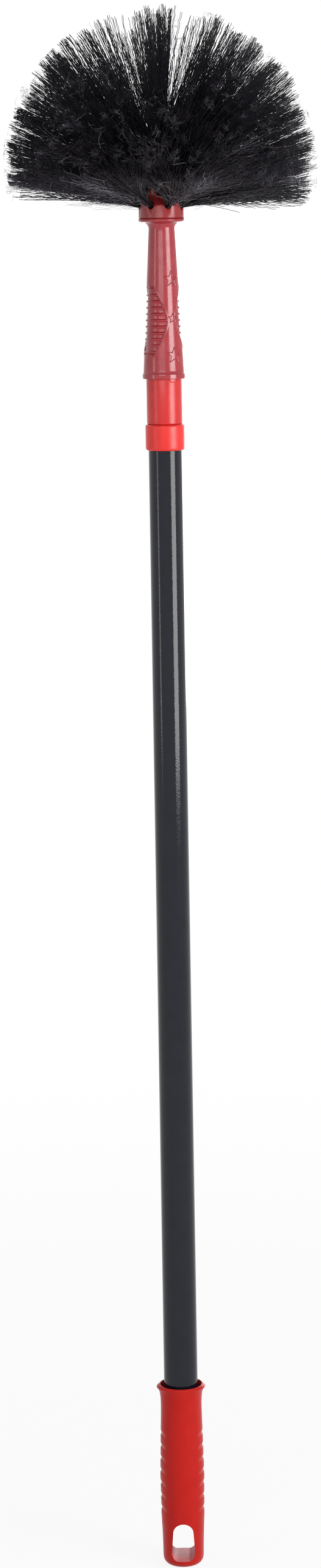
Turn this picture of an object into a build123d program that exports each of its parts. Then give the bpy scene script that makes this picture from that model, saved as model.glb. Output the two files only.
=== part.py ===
"""Extendable cobweb brush: a two-tube pole with a twist lock, a grip, and a round brush head on a socket.

The pole stands along Z with the brush on top. The origin is the middle of the grip's lower end.
The front of the brush looks along -Y. All lengths are in millimetres, all angles in degrees.
"""

import os
from math import asin, cos, degrees, pi, radians, sin, sqrt, tan

from build123d import *

os.makedirs("parts", exist_ok=True)

# Fits: play between pieces of one body, between pieces that move, and of the guided tube.
seat_gap = 0.1
running_gap = 0.3
guide_gap = 0.2
cut_overrun = 3.0

# Tubes of the pole.
outer_tube_radius = 11.0
outer_tube_wall = 0.6
outer_tube_length = 707.0
inner_tube_radius = 9.5
inner_tube_wall = 0.6

# Hand grip.
grip_length = 116.3
grip_foot_radius = 13.2
grip_belly_radius = 14.5
grip_slot_band_radius = 14.15
grip_slot_band_height = 34.0
grip_shoulder_radius = 13.95
grip_waist_radius = 13.35
grip_lip_radius = 15.85
grip_lip_thickness = 2.4
grip_lip_drop = 0.6
grip_foot_rounding = 4.5
grip_funnel_depth = 7.0
tube_seat_height = 36.0
belly_height_share = 0.49
shoulder_height_share = 0.705
waist_height_share = 0.892
bell_sharpness = 2.6
bell_steps = 4
round_steps = 3

# Hanging slot through the grip.
slot_foot_height = 4.7
slot_height = 24.6
slot_foot_width = 15.2
slot_arch_radius = 6.6
slot_corner_radius = 4.5

# Collar on the outer tube's upper end.
collar_length = 17.2
collar_cap = 2.2
collar_radius = 12.8
collar_bevel = 1.5

# Twist lock on the inner tube's lower end, and how high it rests over the grip when the pole is closed.
lock_rest_height = 50.0
lock_spigot_length = 20.0
lock_flange_height = 2.5
lock_journal_radius = 6.0
lock_journal_length = 20.0
lock_keeper_radius = 7.8
lock_keeper_height = 3.5
lock_throw = 0.3
lock_twist = 60.0
lock_ring_slit = 2.0

# Adaptor between the inner tube and the head.
adaptor_sleeve_radius = 11.7
adaptor_sleeve_length = 33.5
adaptor_sleeve_bevel = 0.7
adaptor_seat_depth = 24.0
adaptor_tip_radius = 8.8
adaptor_tip_length = 32.0
adaptor_bore_radius = 6.3
nib_radius = 2.32
nib_height = 0.8
nib_azimuth = 27.0

# Head socket.
socket_lap = 4.1
socket_band_radius = 14.05
socket_band_height = 3.4
socket_foot_radius = 13.5
socket_neck_radius = 8.65
socket_taper_length = 94.7
socket_flare_radius = 4.4
socket_flange_radius = 15.3
socket_flange_height = 2.6
socket_core_length = 48.0
socket_core_radius = 6.0

# Ribbed finger panels on the socket's two sides.
panel_azimuth = -58.5
panel_foot_height = 15.6
panel_height = 45.3
panel_depth = 1.1
panel_half_wrap = 71.5
panel_end_half_wrap = 30.5
groove_count = 11
groove_width_share = 0.45

# Brush block.
block_spigot_radius = 4.9
block_spigot_length = 10.0
cup_radius = 15.0
cup_height = 9.6
column_radius = 11.7
block_height = 47.0

# Tuft holes, and the anchor plate at the bottom of each.
tuft_hole_radius = 2.25
tuft_hole_depth = 6.0
tuft_hole_sides = 6
anchor_depth = 1.5
anchor_thickness = 0.4
tuft_root_stickout = 0.5

# Dome of bristles.
dome_radius = 102.8
dome_centre_height = 37.1
first_tuft_azimuth = 17.0
strand_radius = 0.32
strands_per_tuft = 11
strand_spread_share = 0.86
strand_trim_share = 0.06
top_tuft_half_angle = 13.0
top_ring_radius = 8.2

# One entry for each ring of tufts: tufts, height and radius of their seats, dome angles they cover.
tuft_rows = {
    "tuft_row_1": {"tufts": 8, "height": 8.1, "radius": cup_radius, "low_angle": -16.0, "high_angle": 2.0},
    "tuft_row_2": {"tufts": 8, "height": 16.9, "radius": column_radius, "low_angle": 2.0, "high_angle": 19.0},
    "tuft_row_3": {"tufts": 6, "height": 25.8, "radius": column_radius, "low_angle": 19.0, "high_angle": 36.0},
    "tuft_row_4": {"tufts": 6, "height": 35.2, "radius": column_radius, "low_angle": 36.0, "high_angle": 53.0},
    "tuft_row_5": {"tufts": 4, "height": block_height, "radius": top_ring_radius, "low_angle": 53.0, "high_angle": 76.0},
}

# Heights along the pole, each from the piece that it stands on.
outer_tube_top = tube_seat_height + outer_tube_length
collar_top = outer_tube_top + collar_cap
collar_foot = collar_top - collar_length
sleeve_foot = collar_top + running_gap
sleeve_top = sleeve_foot + adaptor_sleeve_length
tip_top = sleeve_top + adaptor_tip_length
inner_tube_top = sleeve_foot + adaptor_seat_depth
keeper_foot = tube_seat_height + lock_rest_height
journal_foot = keeper_foot + lock_keeper_height
flange_height = journal_foot + lock_journal_length
inner_tube_foot = flange_height + lock_flange_height
inner_tube_length = inner_tube_top - inner_tube_foot
socket_foot = sleeve_top - socket_lap
band_top = socket_foot + socket_band_height
neck_height = band_top + socket_taper_length
flange_foot = neck_height + socket_flare_radius
socket_top = flange_foot + socket_flange_height
dome_centre = Vector(0, 0, socket_top + dome_centre_height)

# Bores that follow the piece they hold.
outer_tube_bore = outer_tube_radius - outer_tube_wall
inner_tube_bore = inner_tube_radius - inner_tube_wall
guide_bore = inner_tube_radius + guide_gap
nib_reach = adaptor_sleeve_radius + nib_height


def side(*points):
    """Slanting sides through the points, each drawn as a curve of its own."""
    for start, end in zip(points, points[1:]):
        Bezier(start, ((start[0] + end[0]) / 2, (start[1] + end[1]) / 2), end)


def outward(azimuth):
    """The level unit vector at an azimuth counted from the front towards +X."""
    return Vector(sin(radians(azimuth)), -cos(radians(azimuth)), 0)


# Outer tube.
with BuildPart() as outer_tube:
    with BuildSketch(Plane.XY.offset(tube_seat_height)):
        Circle(outer_tube_radius)
        Circle(outer_tube_bore, mode=Mode.SUBTRACT)
    extrude(amount=outer_tube_length)

outer_tube.part.label = "outer_tube"
export_step(outer_tube.part, "parts/outer_tube.step")


# Hand grip: a turned body with the tube's bore and the hanging slot.
grip_seat_radius = outer_tube_radius + seat_gap
grip_mouth_radius = grip_lip_radius - grip_lip_thickness
belly_height = grip_length * belly_height_share
shoulder_height = grip_length * shoulder_height_share
waist_height = grip_length * waist_height_share
foot_round = [
    (grip_foot_radius - grip_foot_rounding * (1 - cos(turn)), grip_foot_rounding * (1 - sin(turn)))
    for turn in (i * pi / 2 / round_steps for i in range(round_steps, -1, -1))
]
bell = [
    (
        grip_waist_radius + (grip_lip_radius - grip_waist_radius) * share ** bell_sharpness,
        waist_height + (grip_length - grip_lip_drop - waist_height) * share,
    )
    for share in (i / bell_steps for i in range(bell_steps + 1))
]

slot_band_top = (grip_slot_band_radius, grip_slot_band_height)
lip_crown = ((grip_lip_radius + grip_mouth_radius) / 2, grip_length)
funnel_foot = (grip_seat_radius, grip_length - grip_funnel_depth)

with BuildPart() as hand_grip:
    with BuildSketch(Plane.XZ):
        with BuildLine():
            Polyline(*foot_round, slot_band_top)
            side(slot_band_top, (grip_belly_radius, belly_height), (grip_shoulder_radius, shoulder_height), *bell, lip_crown)
            Line(lip_crown, (grip_mouth_radius, grip_length))
            side((grip_mouth_radius, grip_length), funnel_foot)
            Polyline(funnel_foot, (grip_seat_radius, tube_seat_height), (0, tube_seat_height), (0, 0), foot_round[0])
        make_face()
    revolve(axis=Axis.Z)

    slot_top = slot_foot_height + slot_height
    with BuildSketch(Plane.XZ) as slot_outline:
        with BuildLine():
            half_foot = slot_foot_width / 2
            arch_height = slot_top - slot_arch_radius
            Polyline((-slot_arch_radius, arch_height), (-half_foot, slot_foot_height),
                     (half_foot, slot_foot_height), (slot_arch_radius, arch_height))
            ThreePointArc((slot_arch_radius, arch_height), (0, slot_top), (-slot_arch_radius, arch_height))
        make_face()
        fillet(slot_outline.vertices().group_by(Axis.Y)[0], slot_corner_radius)
    extrude(amount=grip_belly_radius + cut_overrun, both=True, mode=Mode.SUBTRACT)

hand_grip.part.label = "hand_grip"
export_step(hand_grip.part, "parts/hand_grip.step")


# Guide collar: a skirt round the outer tube's end, and a cap whose bore guides the inner tube.
collar_seat_radius = outer_tube_radius + seat_gap

with BuildPart() as guide_collar:
    with BuildSketch(Plane.XZ):
        with BuildLine():
            Polyline(
                (collar_seat_radius, collar_foot),
                (collar_radius, collar_foot),
                (collar_radius, collar_top - collar_bevel),
                (collar_radius - collar_bevel / 2, collar_top),
                (guide_bore, collar_top),
                (guide_bore, outer_tube_top),
                (collar_seat_radius, outer_tube_top),
                close=True,
            )
        make_face()
    revolve(axis=Axis.Z)

guide_collar.part.label = "guide_collar"
export_step(guide_collar.part, "parts/guide_collar.step")


# Inner tube.
with BuildPart() as inner_tube:
    with BuildSketch(Plane.XY.offset(inner_tube_foot)):
        Circle(inner_tube_radius)
        Circle(inner_tube_bore, mode=Mode.SUBTRACT)
    extrude(amount=inner_tube_length)

inner_tube.part.label = "inner_tube"
export_step(inner_tube.part, "parts/inner_tube.step")


# Lock plug: spigot in the inner tube, flange, eccentric journal and keeper, from the top down.
with BuildPart() as lock_plug:
    with BuildSketch(Plane.XY.offset(inner_tube_foot)):
        Circle(inner_tube_bore - seat_gap)
    extrude(amount=lock_spigot_length)
    with BuildSketch(Plane.XY.offset(flange_height)):
        Circle(inner_tube_radius)
    extrude(amount=lock_flange_height)
    with BuildSketch(Plane.XY.offset(journal_foot)):
        with Locations((lock_throw, 0)):
            Circle(lock_journal_radius)
    extrude(amount=lock_journal_length)
    with BuildSketch(Plane.XY.offset(keeper_foot)):
        Circle(lock_keeper_radius)
    extrude(amount=lock_keeper_height)

lock_plug.part.label = "lock_plug"
export_step(lock_plug.part, "parts/lock_plug.step")


# Lock cam ring: its bore is off-centre and wide enough for the journal's whole twist.
ring_radius = outer_tube_bore - running_gap
ring_length = lock_journal_length - 2 * running_gap
ring_bore = lock_journal_radius + 2 * lock_throw * sin(radians(lock_twist / 4)) + seat_gap
bore_turn = radians(lock_twist / 2)

with BuildPart() as lock_cam_ring:
    with BuildSketch(Plane.XY.offset(journal_foot + running_gap)) as ring_section:
        Circle(ring_radius)
        with Locations((lock_throw * cos(bore_turn), lock_throw * sin(bore_turn))):
            Circle(ring_bore, mode=Mode.SUBTRACT)
        Rectangle(ring_radius + cut_overrun, lock_ring_slit, align=(Align.MAX, Align.CENTER), mode=Mode.SUBTRACT)
    extrude(amount=ring_length)

lock_cam_ring.part.label = "lock_cam_ring"
export_step(lock_cam_ring.part, "parts/lock_cam_ring.step")


# Pole adaptor: sleeve over the inner tube, tip in the socket and the half-round nib.
adaptor_seat_radius = inner_tube_radius + seat_gap

with BuildPart() as pole_adaptor:
    with BuildSketch(Plane.XZ) as adaptor_section:
        with BuildLine():
            Polyline(
                (adaptor_seat_radius, sleeve_foot),
                (adaptor_sleeve_radius, sleeve_foot),
                (adaptor_sleeve_radius, sleeve_top),
                (adaptor_tip_radius, sleeve_top),
                (adaptor_tip_radius, tip_top),
                (adaptor_bore_radius, tip_top),
                (adaptor_bore_radius, inner_tube_top),
                (adaptor_seat_radius, inner_tube_top),
                close=True,
            )
        make_face()
        corners = adaptor_section.vertices()
        chamfer(corners.sort_by_distance((adaptor_sleeve_radius, sleeve_foot, 0))[0], adaptor_sleeve_bevel)
    revolve(axis=Axis.Z)
    nib_base = outward(nib_azimuth) * (adaptor_sleeve_radius - nib_height)
    with BuildSketch(Plane(nib_base + Vector(0, 0, socket_foot), z_dir=outward(nib_azimuth))):
        Circle(nib_radius)
    extrude(amount=2 * nib_height)

pole_adaptor.part.label = "pole_adaptor"
export_step(pole_adaptor.part, "parts/pole_adaptor.step")


# The cut of the finger panels: part rings on two sides, whose lengths follow a lens outline.
taper = (socket_foot_radius - socket_neck_radius) / socket_taper_length
panel_foot = socket_foot + panel_foot_height
groove_pitch = panel_height / groove_count
groove_width = groove_pitch * groove_width_share
middle_reach = sin(radians(panel_half_wrap))
end_reach = sin(radians(panel_end_half_wrap))

with BuildPart() as finger_grooves:
    for side_turn in (0, 180):
        for i in range(groove_count):
            height = panel_foot + (i + 1 / 2) * groove_pitch
            surface = socket_foot_radius - (height - band_top) * taper
            off_middle = (2 * i + 1) / groove_count - 1
            half_wrap = degrees(asin(middle_reach - (middle_reach - end_reach) * off_middle ** 2))
            start = panel_azimuth - 90 + side_turn - half_wrap
            with BuildSketch(Plane.XZ.rotated((0, 0, start))):
                with Locations((surface - panel_depth, height)):
                    Rectangle(panel_depth + cut_overrun, groove_width, align=(Align.MIN, Align.CENTER))
            revolve(axis=Axis.Z, revolution_arc=2 * half_wrap)


# Head socket: band, tapered barrel, flared neck and flange, bored for the adaptor and the block.
lap_radius = nib_reach + running_gap
lap_top = sleeve_top + running_gap
tip_bore = adaptor_tip_radius + running_gap
core_foot = tip_top + running_gap
spigot_seat = socket_top - block_spigot_length - seat_gap

neck_flare = [
    (
        socket_neck_radius + socket_flare_radius * (1 - cos(turn)),
        neck_height + socket_flare_radius * sin(turn),
    )
    for turn in (i * pi / 2 / round_steps for i in range(round_steps + 1))
]

with BuildPart() as head_socket:
    with BuildSketch(Plane.XZ):
        with BuildLine():
            Polyline((0, socket_top), (0, socket_foot), (socket_band_radius, socket_foot),
                     (socket_band_radius, band_top), (socket_foot_radius, band_top), neck_flare[0])
            side(*neck_flare)
            Polyline(neck_flare[-1], (socket_flange_radius, flange_foot),
                     (socket_flange_radius, socket_top), (0, socket_top))
        make_face()
    revolve(axis=Axis.Z)
    add(finger_grooves.part, mode=Mode.SUBTRACT)
    with BuildSketch(Plane.XZ):
        with BuildLine():
            Polyline(
                (0, socket_foot - cut_overrun),
                (lap_radius, socket_foot - cut_overrun),
                (lap_radius, lap_top),
                (tip_bore, lap_top),
                (tip_bore, core_foot),
                (socket_core_radius, core_foot),
                (socket_core_radius, core_foot + socket_core_length),
                (0, core_foot + socket_core_length),
                close=True,
            )
        make_face()
    revolve(axis=Axis.Z, mode=Mode.SUBTRACT)
    with BuildSketch(Plane.XY.offset(spigot_seat)):
        Circle(block_spigot_radius + seat_gap)
    extrude(amount=block_spigot_length + cut_overrun, mode=Mode.SUBTRACT)

head_socket.part.label = "head_socket"
export_step(head_socket.part, "parts/head_socket.step")


# The block's heights, and where and how each tuft leaves it.
rim_height = socket_top + cup_height
block_top = socket_top + block_height


def on_dome(azimuth, elevation):
    """The unit vector from the dome's centre at an azimuth and an elevation."""
    return outward(azimuth) * cos(radians(elevation)) + Vector(0, 0, sin(radians(elevation)))


def row_planes(row, turn):
    """Planes on the block, one for each tuft of a row, with Z along the tuft."""
    middle = (row["low_angle"] + row["high_angle"]) / 2
    planes = []
    for i in range(row["tufts"]):
        azimuth = turn + i * 360 / row["tufts"]
        seat = outward(azimuth) * row["radius"] + Vector(0, 0, socket_top + row["height"])
        reach = dome_centre + on_dome(azimuth, middle) * dome_radius - seat
        along = Vector(cos(radians(azimuth)), sin(radians(azimuth)), 0)
        planes.append(Plane(seat, x_dir=along, z_dir=reach))
    return planes


def row_stickout(row):
    """How far a tuft's root has to stand out to clear the slanting mouth of its hole."""
    plane = row_planes(row, 0)[0]
    slope = asin(plane.z_dir.Z)
    if row["height"] == block_height:
        slope = pi / 2 - slope
    return tuft_hole_radius * tan(abs(slope)) + tuft_root_stickout


planes = {}
for number, (name, row) in enumerate(tuft_rows.items()):
    planes[name] = row_planes(row, first_tuft_azimuth + number * 360 / (2 * row["tufts"]))
top_plane = Plane((0, 0, block_top))
every_plane = [plane for name in tuft_rows for plane in planes[name]] + [top_plane]

with BuildPart() as brush_block:
    with BuildSketch(Plane.XZ):
        with BuildLine():
            Polyline((0, socket_top), (cup_radius, socket_top), (cup_radius, rim_height),
                     (column_radius, rim_height), (column_radius, block_top), (0, block_top), close=True)
        make_face()
    revolve(axis=Axis.Z)
    with BuildSketch(Plane.XY.offset(socket_top)):
        Circle(block_spigot_radius)
    extrude(amount=-block_spigot_length)
    with BuildSketch(*[plane.offset(-tuft_hole_depth) for plane in every_plane]):
        RegularPolygon(tuft_hole_radius, tuft_hole_sides)
    extrude(amount=tuft_hole_depth + cut_overrun, mode=Mode.SUBTRACT)

brush_block.part.label = "brush_block"
export_step(brush_block.part, "parts/brush_block.step")


# Tuft anchors: one plate at the bottom of each hole, all in one node.
with BuildPart() as tuft_anchors:
    with Locations(*[plane.offset(seat_gap - tuft_hole_depth) for plane in every_plane]):
        Box(2 * (tuft_hole_radius - seat_gap) - anchor_thickness, anchor_thickness, anchor_depth,
            align=(Align.CENTER, Align.CENTER, Align.MIN))

tuft_anchors.part.label = "tuft_anchors"
export_step(tuft_anchors.part, "parts/tuft_anchors.step")


# Tufts: a round root in each hole, and strands that fan out from it without crossing.
root_radius = tuft_hole_radius - seat_gap
root_foot = anchor_depth + 2 * seat_gap - tuft_hole_depth
strand_reach = root_radius * cos(pi / tuft_hole_sides) - strand_radius
golden_turn = 180 * (3 - sqrt(5))
golden_share = (sqrt(5) - 1) / 2


def disc_spots():
    """Evenly spread places on a unit disc, one for each strand of a tuft."""
    spots = []
    for i in range(strands_per_tuft):
        reach = sqrt((i + 1 / 2) / strands_per_tuft)
        turn = radians(i * golden_turn)
        spots.append((reach * cos(turn), reach * sin(turn)))
    return spots


def strand(foot_point, tip_point, along):
    """A three-sided bristle between two points."""
    axis = (tip_point - foot_point).normalized()
    across = axis.cross(along).normalized()
    level = across.cross(axis)
    ends = []
    for point in (foot_point, tip_point):
        corners = [
            point + (level * cos(turn) + across * sin(turn)) * strand_radius
            for turn in (0, 2 * pi / 3, 4 * pi / 3)
        ]
        ends.append(Wire.make_polygon(corners, close=True))
    return Solid.make_loft(ends, ruled=True)


def tuft_strands(plane, stickout, middle, half_wide, half_high):
    """The strands of one tuft: from its root to their places on the dome."""
    strands = []
    face = plane.origin + plane.z_dir * (stickout - tuft_root_stickout / 2)
    upward = middle.cross(plane.x_dir)
    for i, (u, v) in enumerate(disc_spots()):
        foot_point = face + (plane.x_dir * u + plane.y_dir * v) * strand_reach
        wide = plane.x_dir * (u * tan(radians(half_wide)))
        high = upward * (v * tan(radians(half_high)))
        trim = 1 - strand_trim_share * ((i * golden_share) % 1)
        tip_point = dome_centre + (middle + wide + high).normalized() * (dome_radius * trim)
        strands.append(strand(foot_point, tip_point, plane.x_dir))
    return strands


for name, row in tuft_rows.items():
    middle_angle = (row["low_angle"] + row["high_angle"]) / 2
    half_high = (row["high_angle"] - row["low_angle"]) / 2 * strand_spread_share
    half_wide = 180 / row["tufts"] * cos(radians(middle_angle)) * strand_spread_share
    stickout = row_stickout(row)
    strands = []
    for number, plane in enumerate(planes[name]):
        level = Vector(plane.origin.X, plane.origin.Y, 0).normalized()
        middle = level * cos(radians(middle_angle)) + Vector(0, 0, sin(radians(middle_angle)))
        strands += tuft_strands(plane, stickout, middle, half_wide, half_high)
    with BuildPart() as tuft_row:
        with BuildSketch(*[plane.offset(root_foot) for plane in planes[name]]):
            RegularPolygon(root_radius, tuft_hole_sides)
        extrude(amount=stickout - root_foot)
        add(strands)
    tuft_row.part.label = name
    export_step(tuft_row.part, f"parts/{name}.step")

with BuildPart() as tuft_top:
    with BuildSketch(top_plane.offset(root_foot)):
        RegularPolygon(root_radius, tuft_hole_sides)
    extrude(amount=tuft_root_stickout - root_foot)
    add(tuft_strands(top_plane, tuft_root_stickout, Vector(0, 0, 1), top_tuft_half_angle, top_tuft_half_angle))

tuft_top.part.label = "tuft_top"
export_step(tuft_top.part, "parts/tuft_top.step")
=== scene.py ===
# %% [markdown]
# # A cobweb brush on a two-tube pole
# The brush is a ball of crimped black bristles on a red socket, a black pole in two tubes, and a red grip.
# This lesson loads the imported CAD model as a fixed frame, and builds the looks of each piece around it.
# Plastic pieces are spun from outlines, and each bristle is a thin tube along a curve.

from math import asin, atan2, copysign, cos, degrees, dist, hypot, pi, radians, sin, tan, tau

import bmesh
import bpy
import numpy as np
from mathutils import Matrix, Vector


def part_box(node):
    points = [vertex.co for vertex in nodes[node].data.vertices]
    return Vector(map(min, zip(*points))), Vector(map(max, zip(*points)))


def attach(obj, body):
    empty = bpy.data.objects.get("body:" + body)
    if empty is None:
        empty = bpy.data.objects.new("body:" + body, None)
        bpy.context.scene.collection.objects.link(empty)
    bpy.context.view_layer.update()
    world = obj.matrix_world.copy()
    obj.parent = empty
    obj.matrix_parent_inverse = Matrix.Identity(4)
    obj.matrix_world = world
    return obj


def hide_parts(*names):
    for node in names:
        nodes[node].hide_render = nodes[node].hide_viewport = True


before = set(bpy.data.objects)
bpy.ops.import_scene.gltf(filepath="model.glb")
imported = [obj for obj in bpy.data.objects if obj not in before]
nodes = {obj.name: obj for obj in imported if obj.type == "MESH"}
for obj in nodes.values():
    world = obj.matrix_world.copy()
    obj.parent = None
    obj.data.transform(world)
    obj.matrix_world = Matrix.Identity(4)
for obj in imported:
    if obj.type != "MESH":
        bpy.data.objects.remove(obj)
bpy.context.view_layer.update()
mm = 0.001

# %% [markdown]
# ## Reading sizes from the frame
# Every new piece stands where its CAD node stands, so the heights come from the boxes of the nodes.
# A height in this script is in millimetres above the grip's lower end.

# %% Heights of the pieces
def low(node):
    """The height of a node's foot in millimetres."""
    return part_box(node)[0][2] / mm


def high(node):
    """The height of a node's top in millimetres."""
    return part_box(node)[1][2] / mm


def reach(node):
    """Half of a node's width in millimetres."""
    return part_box(node)[1][0] / mm


grip_top = high("hand_grip")
collar_foot = low("guide_collar")
collar_top = high("guide_collar")
sleeve_foot = low("pole_adaptor")
tip_top = high("pole_adaptor")
socket_foot = low("head_socket")
socket_top = high("head_socket")
block_top = high("brush_block")
pole_radius = reach("outer_tube")
print(f"grip to {grip_top:.1f}, collar {collar_foot:.1f} to {collar_top:.1f}")
print(f"socket {socket_foot:.1f} to {socket_top:.1f}, block to {block_top:.1f}")

# %% [markdown]
# ## Turned pieces
# The grip, the collar, the sleeve, the socket and the block are turned shapes with soft edges.
# An outline is spun about the pole's axis, which keeps its roundings exact.
# Smooth shading hides the steps, and edges over an angle stay crisp.

# %% Helpers for turned pieces
def arc(centre, radius, start, end, steps=6):
    """Points of an arc in the outline's plane, with angles in degrees from the outward direction."""
    turns = [radians(start + (end - start) * i / steps) for i in range(steps + 1)]
    return [(centre[0] + radius * cos(t), centre[1] + radius * sin(t)) for t in turns]


def spun(outline, columns, closed=False):
    """A bmesh of the outline, given in millimetres, spun once round the axis."""
    mesh = bmesh.new()
    ring = [mesh.verts.new((r * mm, 0, z * mm)) for r, z in outline]
    pairs = list(zip(ring, ring[1:])) + ([(ring[-1], ring[0])] if closed else [])
    edges = [mesh.edges.new(pair) for pair in pairs]
    bmesh.ops.spin(mesh, geom=ring + edges, cent=(0, 0, 0), axis=(0, 0, 1), angle=tau,
                   steps=columns, use_merge=True)
    bmesh.ops.remove_doubles(mesh, verts=mesh.verts, dist=0.002 * mm)
    bmesh.ops.recalc_face_normals(mesh, faces=mesh.faces)
    return mesh


def placed(name, data):
    """A new object in the scene with this data."""
    thing = bpy.data.objects.new(name, data)
    bpy.context.scene.collection.objects.link(thing)
    return thing


def finished(mesh, name, material, sharp=35):
    """An object with the bmesh's shape, smooth but for edges over the angle."""
    data = bpy.data.meshes.new(name)
    mesh.to_mesh(data)
    mesh.free()
    data.shade_smooth()
    data.set_sharp_from_angle(angle=radians(sharp))
    data.materials.append(material)
    return placed(name, data)


# %% [markdown]
# ## Materials
# The plastics differ in colour, in gloss and in how smooth the mould was.
# Each has a faint cloudiness in its colour, a fine grain in its bump and smudges in its roughness.
# All patterns read Object coordinates, so they stay on the piece when the pole moves.

# %% Nodes that the materials share
def linear(red, green, blue):
    """A screen colour of 0 to 255 as the linear colour that the shader takes."""
    shares = (red / 255, green / 255, blue / 255)
    return tuple(s / 12.92 if s < 0.04045 else ((s + 0.055) / 1.055) ** 2.4 for s in shares) + (1,)


def object_place(tree):
    """Where a point is on its own object."""
    return tree.nodes.new("ShaderNodeTexCoord").outputs["Object"]


def add_noise(tree, grain_size, detail=3.0):
    """A noise texture whose grains have about this size in millimetres."""
    noise = tree.nodes.new("ShaderNodeTexNoise")
    noise.inputs["Scale"].default_value = 1 / grain_size / mm
    noise.inputs["Detail"].default_value = detail
    tree.links.new(object_place(tree), noise.inputs["Vector"])
    return noise.outputs["Fac"]


def add_range(tree, value, new_low, new_high, old_low=0.3, old_high=0.7):
    """Spreads the middle of a noise, or other values, over a new range."""
    spread = tree.nodes.new("ShaderNodeMapRange")
    ends = {"From Min": old_low, "From Max": old_high, "To Min": new_low, "To Max": new_high}
    for name, end in ends.items():
        spread.inputs[name].default_value = end
    tree.links.new(value, spread.inputs["Value"])
    return spread.outputs["Result"]


def add_colour(tree, colour, before, amount):
    """Mixes a screen colour into another, or into what comes before, by 0 to 1."""
    mix = tree.nodes.new("ShaderNodeMix")
    mix.data_type = "RGBA"
    mix.inputs["B"].default_value = linear(*colour)
    if isinstance(before, tuple):
        mix.inputs["A"].default_value = linear(*before)
    else:
        tree.links.new(before, mix.inputs["A"])
    tree.links.new(amount, mix.inputs["Factor"])
    return mix.outputs["Result"]


def add_math(tree, operation, first, second):
    """A math node on a value and a number or a second value."""
    node = tree.nodes.new("ShaderNodeMath")
    node.operation = operation
    tree.links.new(first, node.inputs[0])
    if isinstance(second, (int, float)):
        node.inputs[1].default_value = second
    else:
        tree.links.new(second, node.inputs[1])
    return node.outputs[0]


# %% A moulded surface
# Specks in the colour of the bright highlight: partly real dust, partly painted sheen.
dust_and_sheen_colour = (214, 168, 174)
speck_size = 0.8
speck_low = -1.0
patch_size = 14.0
patch_low = -0.4
smudge_share = 0.6


def plastic(name, dark, light, roughness, grain_size, grain_height, cloud=9,
            specular=0.5, dust_and_sheen=0.0, metallic=0.0):
    """Two close colours in clouds, smudged gloss, a fine grain and patches of dust with painted sheen."""
    material = bpy.data.materials.new(name)
    material.use_nodes = True
    tree = material.node_tree
    shader = tree.nodes["Principled BSDF"]
    colour = add_colour(tree, light, dark, add_range(tree, add_noise(tree, cloud), 0, 1))
    if dust_and_sheen:
        specks = add_math(tree, "MAXIMUM", add_range(tree, add_noise(tree, speck_size), speck_low, 1), 0)
        patches = add_math(tree, "MAXIMUM", add_range(tree, add_noise(tree, patch_size), patch_low, 1), 0)
        where = add_math(tree, "MULTIPLY", specks, patches)
        colour = add_colour(tree, dust_and_sheen_colour, colour, add_math(tree, "MULTIPLY", where, dust_and_sheen))
    tree.links.new(colour, shader.inputs["Base Color"])
    smudges = add_noise(tree, smudge_share * cloud, detail=5)
    tree.links.new(add_range(tree, smudges, *roughness), shader.inputs["Roughness"])
    shader.inputs["Specular IOR Level"].default_value = specular
    shader.inputs["Metallic"].default_value = metallic
    bump = tree.nodes.new("ShaderNodeBump")
    bump.inputs["Distance"].default_value = grain_height * mm
    tree.links.new(add_noise(tree, grain_size, detail=2), bump.inputs["Height"])
    tree.links.new(bump.outputs["Normal"], shader.inputs["Normal"])
    return material


# %% The finishes of the brush
grip_red = plastic("grip_red", (178, 25, 18), (184, 28, 21), (0.3, 0.38), 0.5, 0.012, specular=0.16)
# The slot's walls are paler by painted light, for the light that comes into the slot from behind.
slot_red_painted_light = plastic("slot_red_painted_light", (186, 78, 84), (194, 86, 92), (0.4, 0.48), 0.6, 0.008, specular=0.22)
pole_black = plastic("pole_black", (13, 16, 25), (18, 21, 31), (0.05, 0.1), 0.9, 0.028, specular=0.33)
collar_red = plastic("collar_red", (216, 40, 36), (223, 47, 43), (0.3, 0.4), 0.6, 0.015, specular=0.42)
sleeve_red = plastic("sleeve_red", (190, 32, 32), (202, 39, 38), (0.24, 0.34), 0.6, 0.015, specular=0.45)
# The socket and the block take specks of dust and painted sheen.
socket_red = plastic("socket_red", (152, 38, 47), (162, 46, 55), (0.1, 0.24), 0.7, 0.01, dust_and_sheen=0.16)
block_red = plastic("block_red", (142, 26, 28), (154, 34, 36), (0.16, 0.3), 0.6, 0.015, dust_and_sheen=0.14)
tube_steel = plastic("tube_steel", (150, 152, 156), (172, 174, 178), (0.25, 0.35), 0.8, 0.004, metallic=1)
lock_plastic = plastic("lock_plastic", (206, 204, 196), (222, 220, 212), (0.4, 0.5), 0.5, 0.02)
anchor_metal = plastic("anchor_metal", (168, 168, 168), (190, 190, 190), (0.3, 0.45), 0.4, 0.01, metallic=1)
bristle = plastic("bristle", (19, 18, 23), (40, 37, 43), (0.42, 0.55), 0.8, 0.01, cloud=3, specular=0.2)
fuzz_grey = plastic("fuzz_grey", (62, 60, 66), (108, 105, 113), (0.6, 0.8), 0.5, 0.01, specular=0.15)
curl_grey = plastic("curl_grey", (108, 105, 113), (172, 169, 177), (0.5, 0.7), 0.5, 0.01,
                    cloud=6, specular=0.2)
# The lowest row is lighter by painted light, for the light from the floor below.
bristle_lit_from_below = plastic("bristle_lit_from_below", (23, 21, 26), (58, 55, 62), (0.45, 0.6), 0.8, 0.01,
                       cloud=4, specular=0.2)
print("materials:", len(bpy.data.materials))

# %% [markdown]
# ## Painted shade at the roots, and a moulding line
# Bristles, fuzz and curls are darker near the block by painted shade, where the ball's own shade falls.
# So a dark colour is mixed in near the cup, and fades out with the distance from it.
# In the slot the two halves of the mould met, which left a fine darker line halfway through the grip.
# Nodes work both out from the place on the object, so nothing needs unwrapping.

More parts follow.
